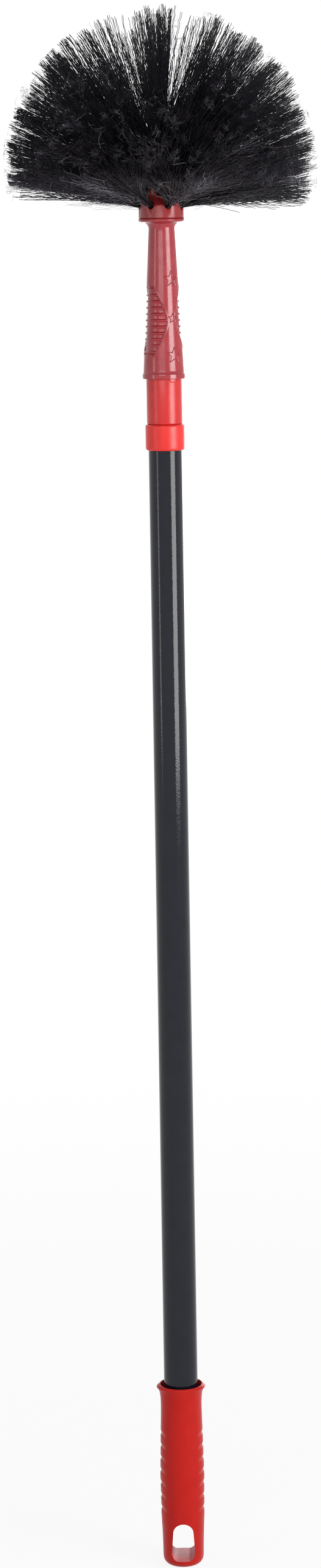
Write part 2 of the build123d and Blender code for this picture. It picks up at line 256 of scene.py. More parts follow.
# %% Colours that depend on the place
# Painted shade near the cup: its dark colour, and where it starts and ends fading for each material.
root_shade_colour = (16, 15, 18)
root_shade_height = socket_top + 6
root_shade_start = 18
root_shade_ends = {bristle_lit_from_below: 46, fuzz_grey: 30, curl_grey: 22}
seam_colour = (128, 44, 50)
seam_half_width = 0.16


def distance_from(tree, height):
    """The distance in metres from the point on the axis at a height."""
    distance = tree.nodes.new("ShaderNodeVectorMath")
    distance.operation = "DISTANCE"
    distance.inputs[1].default_value = (0, 0, height * mm)
    tree.links.new(object_place(tree), distance.inputs[0])
    return distance.outputs["Value"]


def tint(material, colour, amount):
    """Mixes a colour into what a material has, where the amount says so."""
    tree = material.node_tree
    base = tree.nodes["Principled BSDF"].inputs["Base Color"]
    tree.links.new(add_colour(tree, colour, base.links[0].from_socket, amount), base)


# Painted shade: each fibre material darkens near the cup.
for material, root_shade_end in root_shade_ends.items():
    tree = material.node_tree
    away = distance_from(tree, root_shade_height)
    tint(material, root_shade_colour, add_range(tree, away, 1, 0, root_shade_start * mm, root_shade_end * mm))

tree = slot_red_painted_light.node_tree
sides = tree.nodes.new("ShaderNodeSeparateXYZ")
tree.links.new(object_place(tree), sides.inputs["Vector"])
off_middle = add_math(tree, "MULTIPLY", sides.outputs["Y"], sides.outputs["Y"])
tint(slot_red_painted_light, seam_colour, add_math(tree, "LESS_THAN", off_middle, (seam_half_width * mm) ** 2))
print("tinted materials:", len(root_shade_ends) + 1)

# %% [markdown]
# ## Hand grip
# The grip is a soft red moulding: a hollow barrel with a flared lip, a rounded foot and a hanging slot.
# Seven shallow crescents on each side stop the hand from slipping.
# The outline is spun with close rows where the crescents are, and their points move inwards.
# The lip is pressed a little flatter in front and behind.
# The slot is cut last, with a rounded prism, so its walls stay clean. Their faces take a second material,
# paler red with painted light, for the light that comes into the slot from behind.

# %% Outline of the grip
grip_profile = {5.7: 13.2, 13: 13.33, 20: 13.53, 27: 13.85, 34: 14.15, 48.8: 14.35, 58: 14.5, 72.7: 14.15,
                82: 13.95, 89: 13.7, 94: 13.5, 103.8: 13.35, 108.5: 13.55, 111: 13.82, 112.6: 14.15,
                113.8: 14.65, 114.7: 15.3}
grip_lip_radius = reach("hand_grip")
grip_mouth_radius = 13.5
grip_foot_radius = 13.1
foot_rounding = 5.0
foot_rest_radius = 4.0
foot_hollow = 0.05
lip_edge_height = 115.3
edge_bevel = 0.3
lip_crest_height = 117.1
crest_bevel = 0.4
tube_bore = pole_radius + 0.1
tube_seat_height = 36.0
tube_mouth_depth = 7.0
fine_step = 0.3
coarse_step = 1.2
fine_from = 31
fine_to = 87


def smooth_curve(stations, value):
    """The height of a smooth curve through the stations at a value."""
    keys = sorted(stations)
    i = min(max(1, sum(k <= value for k in keys)), len(keys) - 1)
    before, start, end, after = (keys[min(max(j, 0), len(keys) - 1)] for j in (i - 2, i - 1, i, i + 1))
    width = end - start
    slope_start = (stations[end] - stations[before]) / (end - before) * width
    slope_end = (stations[after] - stations[start]) / (after - start) * width
    t = (value - start) / width
    return ((2 * t ** 3 - 3 * t ** 2 + 1) * stations[start] + (t ** 3 - 2 * t ** 2 + t) * slope_start
            + (3 * t ** 2 - 2 * t ** 3) * stations[end] + (t ** 3 - t ** 2) * slope_end)


stops = sorted(grip_profile)
heights = [stops[0]]
while heights[-1] < stops[-1] - coarse_step:
    heights.append(heights[-1] + (fine_step if fine_from < heights[-1] < fine_to else coarse_step))
barrel = [(smooth_curve(grip_profile, h), h) for h in heights + [stops[-1]]]
foot = [(0, 0), (foot_rest_radius, foot_hollow)]
foot += arc((grip_foot_radius - foot_rounding, foot_rounding), foot_rounding, -88, 0, 10)
lip = (arc((grip_lip_radius - edge_bevel, lip_edge_height), edge_bevel, -40, 50, 5)
       + arc((grip_mouth_radius + crest_bevel, lip_crest_height - crest_bevel), crest_bevel, 50, 180, 6))
bore = [(tube_bore, grip_top - tube_mouth_depth), (tube_bore, tube_seat_height),
        (0, tube_seat_height)]
print("rows of the barrel:", len(barrel))

# %% Crescents
crescent_count = 7
crescent_pitch = 8.1
crescent_top = 84.5
crescent_wrap = 44.0
crescent_fade = 22.0
crescent_depth = 0.85
lower_share = 0.42
upper_share = 0.13
sunk_wrap = 62.0
sunk_depth = 0.1
sunk_low = 33.0
sunk_high = 84.0
sunk_side_fade = 3.0
sunk_end_fade = 1.5


def carve(mesh, depth):
    """Moves each point inwards by a depth, which depends on its radius, height and azimuth."""
    for vert in mesh.verts:
        azimuth = degrees(atan2(vert.co.x, -vert.co.y))
        cut = depth(hypot(vert.co.x, vert.co.y) / mm, vert.co.z / mm, azimuth)
        if cut:
            vert.co -= Vector((vert.co.x, vert.co.y, 0)).normalized() * cut * mm


def smooth_step(value):
    """0 below 0, 1 above 1, and an even slope between."""
    value = min(1, max(0, value))
    return value * value * (3 - 2 * value)


def crescent_cut(radius, height, azimuth):
    """The depth of the sunk side, and of the crescents, which are steep below and gentle above."""
    if radius < grip_foot_radius or not sunk_low < height < crescent_top + crescent_pitch:
        return 0
    off_side = abs(abs(azimuth) - 90)
    ends = min(height - sunk_low, sunk_high - height)
    cut = sunk_depth * smooth_step(min((sunk_wrap - off_side) / sunk_side_fade, ends / sunk_end_fade))
    level = (height - crescent_top) / crescent_pitch
    if off_side > crescent_wrap or not -crescent_count + 1 - upper_share < level < lower_share:
        return cut
    up = level % 1
    shape = max(1 - smooth_step(up / lower_share), 1 - smooth_step((1 - up) / upper_share))
    return cut + crescent_depth * smooth_step((crescent_wrap - off_side) / crescent_fade) * shape


# %% Spin and carve the grip
press_height = 105
press_radius = 14.0
press_in = 0.6
press_up = 0.35
grip_mesh = spun(foot + barrel + lip + bore, columns=168)
carve(grip_mesh, crescent_cut)
for vert in grip_mesh.verts:
    radius = hypot(vert.co.x, vert.co.y) / mm
    over = max(0, radius - press_radius)
    if vert.co.z > press_height * mm and over:
        pressed = over * (vert.co.y / mm / radius) ** 2 * mm
        vert.co -= Vector((vert.co.x, vert.co.y, 0)).normalized() * pressed * press_in
        vert.co.z += pressed * press_up
grip = finished(grip_mesh, "grip_shell", grip_red)

# %% Helpers for cuts and soft edges
def plain_mesh(thing):
    """The mesh that an object shows, with its modifiers or its section."""
    view = bpy.context.evaluated_depsgraph_get()
    return bpy.data.meshes.new_from_object(thing.evaluated_get(view))


def settle(piece):
    """Turns a piece's modifiers into plain mesh."""
    data = plain_mesh(piece)
    piece.modifiers.clear()
    piece.data = data


def cut_away(piece, cutter_mesh):
    """Cuts the shape of a bmesh out of a piece, and leaves no modifier on it."""
    cutter = finished(cutter_mesh, "cutter", piece.data.materials[0])
    cut = piece.modifiers.new("cut", "BOOLEAN")
    cut.operation = "DIFFERENCE"
    cut.solver = "EXACT"
    cut.object = cutter
    settle(piece)
    bpy.data.objects.remove(cutter)


def soften(piece, width, segments, angle):
    """Rounds the edges that are sharper than an angle, by a width in millimetres."""
    bevel = piece.modifiers.new("soft edges", "BEVEL")
    bevel.width = width * mm
    bevel.segments = segments
    bevel.limit_method = "ANGLE"
    bevel.angle_limit = radians(angle)
    settle(piece)
    piece.data.shade_smooth()
    piece.data.set_sharp_from_angle(angle=radians(50))


# %% Hanging slot
slot_foot = 4.7
slot_top = 29.3
slot_half_foot = 7.6
slot_arch = 6.6
slot_corner = 4.5
slot_edge = 0.45
cutter_reach = 20
wall_margin = 0.1
wall_slope = 0.2


def on_slot_wall(face):
    """Whether a face lies on the slot's wall, and not on the barrel round it."""
    spot = face.center / mm
    if not slot_foot - wall_margin < spot.z < slot_top + wall_margin:
        return False
    return abs(spot.x) < slot_half_foot + wall_margin and abs(face.normal.y) < wall_slope


cutter_mesh = bmesh.new()
corner_side = slot_half_foot - slot_corner
corner_height = slot_foot + slot_corner
slot_outline = (arc((0, slot_top - slot_arch), slot_arch, 0, 180, 24)
                + arc((-corner_side, corner_height), slot_corner, 180, 270, 10)
                + arc((corner_side, corner_height), slot_corner, 270, 360, 10))
corners = [cutter_mesh.verts.new((x * mm, -cutter_reach * mm, z * mm)) for x, z in slot_outline]
prism = bmesh.ops.extrude_face_region(cutter_mesh, geom=[cutter_mesh.faces.new(corners)])["geom"]
far_end = [v for v in prism if isinstance(v, bmesh.types.BMVert)]
bmesh.ops.translate(cutter_mesh, verts=far_end, vec=(0, 2 * cutter_reach * mm, 0))
bmesh.ops.recalc_face_normals(cutter_mesh, faces=cutter_mesh.faces)
cut_away(grip, cutter_mesh)
soften(grip, slot_edge, segments=3, angle=50)
# The slot's walls take the paler red with painted light.
grip.data.materials.append(slot_red_painted_light)
slot_walls = [face for face in grip.data.polygons if on_slot_wall(face)]
for face in slot_walls:
    face.material_index = 1
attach(grip, "pole")
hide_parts("hand_grip")
print("grip faces:", len(grip.data.polygons), "of the slot:", len(slot_walls))

# %% [markdown]
# ## Tubes and collar
# The tubes, the lock and the anchors keep their CAD shape, which is true, and get their finish.
# The collar closes the outer tube's upper end and guides the inner tube.

# %% Tubes and collar
kept_nodes = {"outer_tube": pole_black, "inner_tube": tube_steel, "lock_plug": lock_plastic,
              "lock_cam_ring": lock_plastic, "tuft_anchors": anchor_metal}
for node, material in kept_nodes.items():
    nodes[node].data.materials.clear()
    nodes[node].data.materials.append(material)

collar_radius = reach("guide_collar")
collar_bore = 9.7
cap_height = 2.2
chamfer = 0.3
collar_bevel = 1.7
shoulder_rounding = 1.12
shoulder_inset = 1.1
shoulder_drop = 1.5
rim_rounding = 0.5
rim_inset = 1.6
outline = ([(tube_bore, collar_foot + chamfer)]
           + arc((collar_radius - collar_bevel, collar_foot + collar_bevel), collar_bevel, -80, 0, 8)
           + [(collar_radius - shoulder_inset + shoulder_rounding, collar_top - collar_bevel)]
           + arc((collar_radius - shoulder_inset, collar_top - shoulder_drop), shoulder_rounding, 5, 60, 4)
           + arc((collar_radius - rim_inset, collar_top - rim_rounding), rim_rounding, 60, 90, 3)
           + [(collar_bore, collar_top), (collar_bore, collar_top - cap_height),
              (tube_bore, collar_top - cap_height)])
collar = finished(spun(outline, columns=128, closed=True), "collar_shell", collar_red)
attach(collar, "pole")
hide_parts("guide_collar")
print("collar faces:", len(collar.data.polygons))

# %% [markdown]
# ## Adaptor
# The adaptor is glued on the inner tube. Its sleeve shows, and its threaded tip is in the socket.
# A round nib stops the socket. It is a short cylinder sunk in the wall, half hidden by the socket's rim.
# The thread is a ridge with a flat crest that climbs as it is spun, which is how a screw is cut.

# %% Adaptor sleeve
sleeve_radius = 11.7
sleeve_top = 779.0
sleeve_drop = 0.22
sleeve_bevel = 0.7
rim_bevel = 0.3
seat_radius = 9.6
seat_drop = 9.5
core_radius = 8.0
core_bore = 6.3
core_rounding = 0.8
sleeve_edge = sleeve_foot - sleeve_drop
outline = ([(seat_radius, sleeve_edge + chamfer), (seat_radius + chamfer, sleeve_edge)]
           + arc((sleeve_radius - sleeve_bevel, sleeve_edge + sleeve_bevel), sleeve_bevel, -90, 0, 6)
           + arc((sleeve_radius - rim_bevel, sleeve_top - rim_bevel), rim_bevel, 0, 90, 3)
           + [(core_radius, sleeve_top)]
           + arc((core_radius - core_rounding, tip_top - core_rounding), core_rounding, 0, 90, 4)
           + [(core_bore, tip_top), (core_bore, sleeve_top - seat_drop),
              (seat_radius, sleeve_top - seat_drop)])
adaptor = finished(spun(outline, columns=128, closed=True), "adaptor_shell", sleeve_red)

# %% Nib
nib_azimuth = 27.0
nib_radius = 2.32
nib_length = 1.6
nib_rounding = 0.3
nib_sink = 0.2


def around(azimuth, radius, height):
    """A point in metres at an azimuth, and at a radius and a height in millimetres."""
    turn = radians(azimuth)
    return Vector((radius * sin(turn), -radius * cos(turn), height)) * mm


nib_mesh = bmesh.new()
facing = Matrix.Rotation(radians(nib_azimuth), 4, "Z") @ Matrix.Rotation(radians(90), 4, "X")
place = Matrix.Translation(around(nib_azimuth, sleeve_radius - nib_sink, socket_foot)) @ facing
bmesh.ops.create_cone(nib_mesh, cap_ends=True, segments=48, radius1=nib_radius * mm,
                      radius2=nib_radius * mm, depth=nib_length * mm, matrix=place)
rim = [e for e in nib_mesh.edges if len(e.link_faces) == 2 and e.calc_face_angle() > 1]
bmesh.ops.bevel(nib_mesh, geom=rim, offset=nib_rounding * mm, segments=3, profile=0.5,
                affect="EDGES", material=-1)
nib = finished(nib_mesh, "adaptor_nib", sleeve_red)

# %% Thread
thread_radius = 8.8
thread_pitch = 4.0
thread_start = 3.0
thread_turns = 6
ridge_root = core_radius - 0.2
ridge_half_root = 1.3
ridge_half_crest = 0.35
thread_mesh = bmesh.new()
thread_foot = sleeve_top + thread_start
ridge = [(ridge_root, -ridge_half_root), (thread_radius, -ridge_half_crest),
         (thread_radius, ridge_half_crest), (ridge_root, ridge_half_root)]
corners = [thread_mesh.verts.new((r * mm, 0, (thread_foot + h) * mm)) for r, h in ridge]
sides = [thread_mesh.edges.new(pair) for pair in zip(corners, corners[1:] + corners[:1])]
steps = 40 * thread_turns
climb = thread_pitch * thread_turns / steps
bmesh.ops.spin(thread_mesh, geom=corners + sides, cent=(0, 0, 0), axis=(0, 0, 1),
               angle=tau * thread_turns, dvec=(0, 0, climb * mm), steps=steps, use_merge=False)
bmesh.ops.holes_fill(thread_mesh, edges=thread_mesh.edges, sides=4)
bmesh.ops.recalc_face_normals(thread_mesh, faces=thread_mesh.faces)
thread = finished(thread_mesh, "adaptor_thread", sleeve_red)
for piece in (adaptor, nib, thread):
    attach(piece, "inner_pole")
    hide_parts("pole_adaptor")
print("sleeve faces:", len(adaptor.data.polygons), "thread faces:", len(thread.data.polygons))

# %% [markdown]
# ## Head socket
# The socket is a long taper with a band at its foot and a round bead under the brush.
# Two lens-shaped panels of finger ribs are sunk in its sides, and small stars stand between them.
# The taper is spun in fine rows, and the ribs are carved as a wave that fades at the lens's edge.

# %% Sizes of the socket
band_top = socket_foot + 3.4
band_radius = 14.05
band_rounding = 0.4
recess_radius = 12.8
recess_height = 4.4
tip_bore = 9.1
tip_bore_height = 36.4
foot_radius = 13.5
neck_radius = 8.65
neck_height = band_top + 94.7
taper = (foot_radius - neck_radius) / (neck_height - band_top)
taper_start = band_top + 0.15
flare = 4.2
bead_radius = reach("head_socket")
bead_rounding = 1.2
bead_drop = 1.22
bead_inset = 1.6
panel_foot = socket_foot + 15.6
panel_height = 45.3
panel_top = panel_foot + panel_height
taper_step = 2.0
rib_step = 0.34


def socket_radius(height):
    """Radius of the socket's taper at a height."""
    return foot_radius - (height - band_top) * taper


def rows(start, end, step):
    """Points along a straight side, close enough together to be carved."""
    count = max(1, round(dist(start, end) / step))
    return [tuple(a + (b - a) * i / count for a, b in zip(start, end)) for i in range(count + 1)]


print(f"slope of the taper: {taper:.4f}")

# %% Finger ribs
rib_count = 11
rib_depth = 1.1
crest_half_share = 0.05
slope_share = 0.2
panel_azimuth = -60.0
panel_lean = 3.3
panel_middle_turn = 73
panel_end_turn = 27.5
panel_sink = 0.1
panel_side_fade = 0.6
panel_end_fade = 0.8
back_swell = 8.0
border_width = 0.7
border_height = 0.14


def panel_edge(height):
    """The middle azimuth of a rib panel at a height, and half its width in degrees."""
    off_middle = 2 * (height - panel_foot) / panel_height - 1
    middle = sin(radians(panel_middle_turn))
    end = sin(radians(panel_end_turn))
    half = degrees(asin(middle - (middle - end) * min(1, abs(off_middle)) ** 2))
    return panel_azimuth - panel_lean * off_middle, half


def rib_cut(radius, height, azimuth):
    """The depth of the finger ribs at a point of the taper."""
    if not panel_foot < height < panel_top or radius < socket_radius(height) - wall_margin:
        return 0
    middle, half = panel_edge(height)
    off = (azimuth - middle + 90) % 180 - 90
    back_reach = back_swell * smooth_step((height - panel_foot) / panel_height) if off < 0 else 0
    inside = (half + back_reach - abs(off)) * radians(1) * radius
    if inside <= -border_width:
        return 0
    if inside <= 0:
        return -border_height * sin(-inside / border_width * pi)
    beat = (height - panel_foot) / panel_height * rib_count + 0.5
    valley = smooth_step((abs(beat - round(beat)) - crest_half_share) / slope_share)
    ends = smooth_step(min(height - panel_foot, panel_top - height) / panel_end_fade)
    return (panel_sink + (rib_depth - panel_sink) * valley) * smooth_step(inside / panel_side_fade) * ends


# %% Spin and carve the socket
panel_start = (socket_radius(panel_foot), panel_foot)
panel_end = (socket_radius(panel_top), panel_top)
outline = ([(0, socket_foot + tip_bore_height), (tip_bore, socket_foot + tip_bore_height),
            (tip_bore, socket_foot + recess_height), (recess_radius, socket_foot + recess_height),
            (recess_radius, socket_foot + chamfer), (recess_radius + chamfer, socket_foot)]
           + arc((band_radius - band_rounding, socket_foot + band_rounding), band_rounding, -90, 0, 3)
           + arc((band_radius - band_rounding, band_top - band_rounding), band_rounding, 0, 70, 3)
           + rows((foot_radius, taper_start), panel_start, taper_step)[:-1]
           + rows(panel_start, panel_end, rib_step)
           + rows(panel_end, (neck_radius, neck_height), taper_step)[1:-1]
           + arc((neck_radius + flare, neck_height), flare, 180, 95, 8)
           + [(bead_radius - bead_inset, neck_height + flare + 0.1)]
           + arc((bead_radius - bead_rounding, socket_top - bead_drop), bead_rounding, -80, 80, 10)
           + [(bead_radius - bead_inset, socket_top), (0, socket_top)])
socket_mesh = spun(outline, columns=208)
carve(socket_mesh, rib_cut)
socket = finished(socket_mesh, "socket_shell", socket_red, sharp=60)
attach(socket, "brush_head")
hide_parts("head_socket")
print("socket faces:", len(socket.data.polygons))

# %% [markdown]
# ## Outline stars
# Each star is a thin round ridge on the taper. A flat ring of ten corners gets a round section,
# and its points are then wrapped round the taper, so that it follows the surface at every height.

# %% Stars on the two strips
star_heights = {840.0: 5.6, 814.5: 3.6, 790.4: 5.5}
star_tips = 5
notch_share = 0.42
side_shares = (0.02, 0.2, 0.4, 0.6, 0.8, 0.98)
ridge_radius = 0.3
ridge_lift = 0.05
strip_azimuth = 32.5


def mesh_of(curve):
    """The mesh of a curve with its section."""
    carrier = placed("carrier", curve)
    data = plain_mesh(carrier)
    bpy.data.objects.remove(carrier)
    return data


def wrapped_star(height, size, azimuth):
    """A star-shaped ridge as a bmesh wrapped round the taper."""
    line = bpy.data.curves.new("star", "CURVE")
    line.dimensions = "3D"
    line.bevel_depth = ridge_radius
    line.bevel_resolution = 2
    path = line.splines.new("POLY")
    path.use_cyclic_u = True
    tips = []
    for i in range(2 * star_tips):
        far = size if i % 2 == 0 else size * notch_share
        turn = pi * i / star_tips
        tips.append(Vector((far * sin(turn), 0, far * cos(turn))))
    points = [a.lerp(b, t) for a, b in zip(tips, tips[1:] + tips[:1]) for t in side_shares]
    path.points.add(len(points) - 1)
    for spot, point in zip(path.points, points):
        spot.co = (*point, 1)
    mesh = bmesh.new()
    mesh.from_mesh(mesh_of(line))
    for vert in mesh.verts:
        level = height + vert.co.z
        radius = socket_radius(level)
        turn = azimuth + degrees(vert.co.x / radius)
        vert.co = around(turn, radius + ridge_lift - vert.co.y, level)
    return mesh


for side, azimuth in (("front", strip_azimuth), ("back", strip_azimuth + 180)):
    for number, (height, size) in enumerate(star_heights.items()):
        star = finished(wrapped_star(height, size, azimuth), f"star_{side}_{number + 1}", socket_red)
        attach(star, "brush_head")
print("stars:", 2 * len(star_heights))

# %% [markdown]
# ## Brush block
# The block holds the tufts: a short cup with a shoulder, and a column in the middle of the bristles.
# It is spun, and a round hole is cut for each tuft. The holes' edges are then softened all at once.
# For each row stand the number of tufts, the height and radius of their seats, and the lowest and highest
# elevation on the dome that they fill.

# %% Where the tufts leave the block
dome_radius = 102.8
dome_centre = Vector((0, 0, socket_top + 37.1))
cup_radius = reach("brush_block")
column_radius = 11.7
block_height = block_top - socket_top
first_tuft_azimuth = 17.0
top_half_turn = 13
tuft_rows = {
    "tuft_row_1": (8, 8.1, cup_radius, -16, 2),
    "tuft_row_2": (8, 16.9, column_radius, 2, 19),
    "tuft_row_3": (6, 25.8, column_radius, 19, 36),
    "tuft_row_4": (6, 35.2, column_radius, 36, 53),
    "tuft_row_5": (4, block_height, 8.2, 53, 76),
}


def on_dome(azimuth, elevation):
    """The unit vector from the dome's centre at an azimuth and an elevation."""
    return around(azimuth, cos(radians(elevation)), sin(radians(elevation))) / mm


tufts = []
for number, (row, (count, rise, radius, lowest, highest)) in enumerate(tuft_rows.items()):
    middle = (lowest + highest) / 2
    for i in range(count):
        azimuth = first_tuft_azimuth + (number / 2 + i) * 360 / count
        seat = around(azimuth, radius, socket_top + rise) / mm
        aim = (dome_centre + on_dome(azimuth, middle) * dome_radius - seat).normalized()
        half_wide = 180 / count * cos(radians(middle))
        tufts.append({"row": row, "number": i + 1, "azimuth": azimuth, "middle": middle, "seat": seat,
                      "aim": aim, "half_wide": half_wide, "half_high": (highest - lowest) / 2})
tufts.append({"row": "tuft_top", "number": 1, "azimuth": 0, "middle": 90, "seat": Vector((0, 0, block_top)),
              "aim": Vector((0, 0, 1)), "half_wide": top_half_turn, "half_high": top_half_turn})
print("tufts:", len(tufts))

# %% Cup, shoulder and column
cup_lip = 0.1
cup_fillet = 0.4
shoulder_foot = socket_top + 7.6
cup_shoulder = 3.5
hollow_radius = 6.0
hollow_middle = socket_top + 16.5
column_rounding = 1.0
outline = ([(0, socket_top), (cup_radius + cup_lip, socket_top),
            (cup_radius + 1.2 * cup_lip, socket_top + cup_lip)]
           + arc((cup_radius + cup_fillet, socket_top + cup_fillet), cup_fillet, 225, 180, 3)
           + arc((cup_radius - cup_shoulder, shoulder_foot), cup_shoulder, 0, 28, 5)
           + arc((column_radius + hollow_radius, hollow_middle), hollow_radius, 206, 180, 4)
           + arc((column_radius - column_rounding, block_top - column_rounding), column_rounding, 0, 90, 4)
           + [(0, block_top)])
block = finished(spun(outline, columns=160), "block_shell", block_red)

# %% Holes for the tufts
hole_radius = 2.3
drill_length = 11
drill_shift = 0.5
hole_lip = 0.3
drill_mesh = bmesh.new()
for tuft in tufts:
    facing = tuft["aim"].to_track_quat("Z", "Y").to_matrix().to_4x4()
    place = Matrix.Translation((tuft["seat"] - tuft["aim"] * drill_shift) * mm) @ facing
    bmesh.ops.create_cone(drill_mesh, cap_ends=True, segments=32, radius1=hole_radius * mm,
                          radius2=hole_radius * mm, depth=drill_length * mm, matrix=place)
cut_away(block, drill_mesh)
soften(block, hole_lip, segments=2, angle=40)
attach(block, "brush_head")
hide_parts("brush_block")
print("block faces:", len(block.data.polygons))

# %% [markdown]
# ## Bristles
# Each tuft is a bunch of crimped fibres that leaves a hole and fans out to the dome.
# A fibre is one thin curve with a three-sided section. Fibres gather in locks, which share the crimp's
# beat, so the outline breaks into small points and light shows between the locks.
# A used brush isn't a perfect ball: three gaps are worn in it, slow waves notch its outline,
# a few stray fibres leave their lock, and the lowest row hangs lower on the right than in front.
# For each row stand the fibres of a tuft, how wide they fan out and the share of strays.

# %% Numbers of the bristles
fibre_rows = {"tuft_row_1": (270, 1.22, 0.12), "tuft_row_2": (270, 1.25, 0.14),
              "tuft_row_3": (260, 1.28, 0.12), "tuft_row_4": (200, 1.15, 0.06),
              "tuft_row_5": (130, 0.78, 0.06), "tuft_top": (110, 0.7, 0.06)}
height_share = 1.12
quick_share = 1.0
lock_count = 17
golden_turn = 137.5
lock_scatter = 0.12
lock_lengths = (0.96, 1.012)
stray_scatter = 0.35
fibre_scatter = 0.1
hang_level = -0.5
hang_right = 0.45
hang_front = 0.55
hang_scatter = 0.12
stray_hang = 0.7
worn_gaps = ((11.0, 5.5, 0.42, 0.3), (-20.0, 6.5, 0.5, 0.5), (76.0, 3.5, 0.55, 0.6))
notch_depth = 0.035
edge_loss = 0.025
edge_rate = 8
tip_loss = 0.006
rng = np.random.default_rng(11)
swell_count = 7
swell_rates = (13, 30)
swell_waves = rng.normal(0, 1, (swell_count, 3))
swell_waves /= np.linalg.norm(swell_waves, axis=1, keepdims=True)
swell_waves *= rng.uniform(*swell_rates, (swell_count, 1))
swell_beats = rng.uniform(0, tau, swell_count)
print("waves in the outline:", swell_count)

# %% Where the fibres of a tuft end
centre = np.array(dome_centre)


def unit(vectors):
    """Vectors of length 1 in the same directions."""
    return vectors / np.linalg.norm(vectors, axis=-1, keepdims=True)


def notch(headings):
    """How deep the worn ball's outline is notched at each heading, from 0 to about 1."""
    swell = np.sin(headings @ swell_waves.T + swell_beats).sum(axis=-1) / 2
    return np.clip(swell, 0, 1.2) ** 1.5


def fan_of(tuft, count):
    """Each fibre's lock, its place off the lock's middle and its place in the tuft's fan."""
    angle = np.arange(lock_count) * radians(golden_turn) + rng.uniform(0, tau)
    spread = np.sqrt((np.arange(lock_count) + 0.5) / lock_count)
    locks = np.stack((spread * np.cos(angle), spread * np.sin(angle)), axis=1)
    locks += rng.normal(0, lock_scatter, locks.shape)
    lock = rng.integers(0, lock_count, count)
    _, row_spread, stray_share = fibre_rows[tuft["row"]]
    stray = rng.random(count) < stray_share
    off = rng.normal(0, 1, (count, 2)) * np.where(stray, stray_scatter, fibre_scatter)[:, None]
    fan = (locks[lock] + off) * row_spread * np.array((1.0, height_share))
    if tuft["row"] == "tuft_row_1":
        turn = radians(tuft["azimuth"])
        lowest = hang_level - hang_right * sin(turn) + hang_front * max(0, cos(turn))
        lowest = lowest + rng.normal(0, hang_scatter, count)
        fan[:, 1] = np.maximum(fan[:, 1], np.where(stray, lowest - stray_hang, lowest))
    return lock, off, fan


def outside_gaps(headings):
    """Which fibres are left, because only a share of them remains in each worn gap."""
    from_top = np.degrees(np.arctan2(headings[:, 0], headings[:, 2]))
    outwards = np.hypot(headings[:, 0], headings[:, 2])
    kept = np.ones(len(headings), dtype=bool)
    for direction, half_gap, first_reach, share in worn_gaps:
        in_gap = (np.abs(from_top - direction) < half_gap) & (outwards > first_reach)
        kept &= ~in_gap | (rng.random(len(headings)) < share)
    return kept


def lengths_of(headings, lock, off):
    """How far each fibre's tip is from the dome's centre, in millimetres."""
    lock_length = rng.uniform(*lock_lengths, lock_count)[lock]
    off_lock = np.minimum(1, np.sum(off ** 2, axis=1) * edge_rate)
    loss = notch_depth * notch(headings) + edge_loss * off_lock + rng.exponential(tip_loss, len(off))
    return dome_radius * (lock_length - loss)


# %% Paths of the fibres
fibre_points = 30
point_crowding = 0.7
root_share = 0.5
root_scatter = 0.3
root_radius = 1.8
root_depth = 3.5
rise_at_root = 9.0
tip_pull = 0.25
bend_share = 0.26
crimp_length = 6.8
crimp_height = 0.42
crimp_start = 6
crimp_growth = 45
beat_scatter = 0.8
tilt_scatter = 0.35


def tuft_paths(tuft, count):
    """The paths of a tuft's fibres in millimetres, by fibre, point and coordinate."""
    aim = np.array(tuft["aim"])
    turn = radians(tuft["azimuth"])
    across = np.array((cos(turn), sin(turn), 0.0))
    over = np.cross(aim, across)
    middle = np.array(on_dome(tuft["azimuth"], tuft["middle"]))
    upward = np.cross(middle, across)
    upward *= copysign(1, upward[2])
    lock, off, fan = fan_of(tuft, count)
    wide = across * fan[:, :1] * tan(radians(tuft["half_wide"]))
    tall = upward * fan[:, 1:] * tan(radians(tuft["half_high"]))
    headings = unit(middle + wide + tall)
    kept = outside_gaps(headings)
    tip = centre + headings * lengths_of(headings, lock, off)[:, None]
    root_off = root_share * fan + rng.normal(0, root_scatter, (count, 2))
    root_off /= np.maximum(1, np.linalg.norm(root_off, axis=1, keepdims=True))
    root = np.array(tuft["seat"]) - aim * root_depth
    root = root + (across * root_off[:, :1] + over * root_off[:, 1:]) * root_radius
    far = np.linalg.norm(tip - root, axis=1, keepdims=True)
    leave = unit(aim + np.array((0, 0, sin(radians(rise_at_root)))))
    bend = root + unit(leave + tip_pull * unit(tip - root)) * far * bend_share
    t = (np.linspace(0, 1, fibre_points) ** point_crowding)[None, :, None]
    path = (1 - t) ** 2 * root[:, None] + 2 * t * (1 - t) * bend[:, None] + t ** 2 * tip[:, None]
    beat = rng.uniform(0, tau, lock_count)[lock] + rng.normal(0, beat_scatter, count)
    tilt = rng.uniform(0, pi, lock_count)[lock] + rng.normal(0, tilt_scatter, count)
    along = t[:, :, 0] * far
    wave = crimp_height * np.clip((along - crimp_start) / crimp_growth, 0, 1)
    wave = wave * np.sin(tau * along / crimp_length + beat[:, None])
    sway = across * np.cos(tilt)[:, None] + over * np.sin(tilt)[:, None]
    return (path + wave[:, :, None] * sway[:, None])[kept]


# %% Curves with a three-sided section
section_sides = 3
section = bpy.data.curves.new("fibre_section", "CURVE")
section_path = section.splines.new("POLY")
section_path.points.add(section_sides - 1)
for i, spot in enumerate(section_path.points):
    turn = tau * i / section_sides
    spot.co = (cos(turn) * mm, sin(turn) * mm, 0, 1)
section_path.use_cyclic_u = True
section_object = placed("fibre_section", section)


